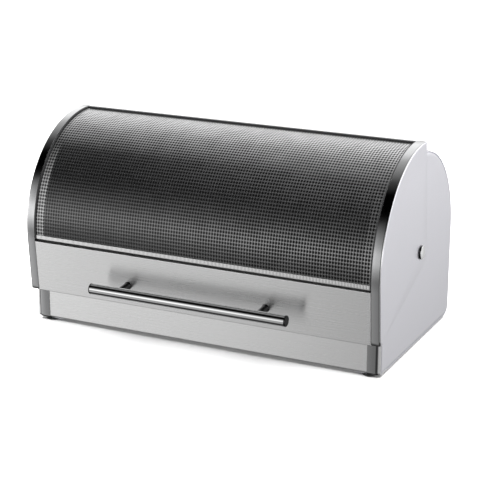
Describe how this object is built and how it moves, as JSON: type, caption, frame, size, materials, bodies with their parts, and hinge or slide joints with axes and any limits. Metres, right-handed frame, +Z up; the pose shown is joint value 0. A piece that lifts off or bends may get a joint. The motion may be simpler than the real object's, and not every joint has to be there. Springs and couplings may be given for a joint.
{
  "type": "bread bin",
  "caption": "Steel bread bin with a D-shaped base and a curved smoked window lid that swings up and back on side pivots by a front bar handle.",
  "frame": {"origin": "centre of the footprint, on the surface the feet stand on", "axes": "+Z up, front and handle towards -Y, left side at -X; the lid turns about an axis along X"},
  "size_m": [0.4268, 0.2552, 0.2265],
  "materials": {
    "satin_steel": "fine satin, side plates, floor and rear cover",
    "brushed_steel": "brushed along the width",
    "polished_steel": "polished rails",
    "handle_steel": "polished bar and posts",
    "fastener_steel": "bright turned fasteners",
    "smoked_acrylic": "smoked acrylic with a fine moulded grid",
    "black_rubber": "matt black",
    "nylon": "natural nylon"
  },
  "bodies": {
    "base": {"left_side_panel": "satin_steel", "right_side_panel": "satin_steel", "kick_panel": "brushed_steel", "floor_panel": "satin_steel", "rear_cover": "satin_steel", "left_pivot_pin": "fastener_steel", "right_pivot_pin": "fastener_steel", "left_pivot_washer": "fastener_steel", "right_pivot_washer": "fastener_steel", "left_pivot_nut": "fastener_steel", "right_pivot_nut": "fastener_steel", "left_front_foot": "black_rubber", "right_front_foot": "black_rubber", "left_rear_foot": "black_rubber", "right_rear_foot": "black_rubber", "left_closing_bumper": "black_rubber", "right_closing_bumper": "black_rubber"},
    "lid": {"left_lid_side": "satin_steel", "right_lid_side": "satin_steel", "left_pivot_bush": "nylon", "right_pivot_bush": "nylon", "window": "smoked_acrylic", "front_panel": "brushed_steel", "lower_rail": "polished_steel", "upper_rail": "polished_steel", "left_window_seal": "black_rubber", "right_window_seal": "black_rubber", "upper_window_seal": "black_rubber", "lower_window_seal": "black_rubber", "handle_tube": "handle_steel", "left_handle_plug": "handle_steel", "right_handle_plug": "handle_steel", "left_handle_post": "handle_steel", "right_handle_post": "handle_steel", "left_handle_screw": "fastener_steel", "right_handle_screw": "fastener_steel", "left_handle_washer": "fastener_steel", "right_handle_washer": "fastener_steel", "left_stop_pad": "black_rubber", "right_stop_pad": "black_rubber"}
  },
  "joints": [
    {"name": "lid_swing", "type": "hinge", "parent": "base", "child": "lid", "pos_m": [0, 0.0176, 0.1065], "axis": [-1, 0, 0], "range_deg": [0, 98]}
  ]
}
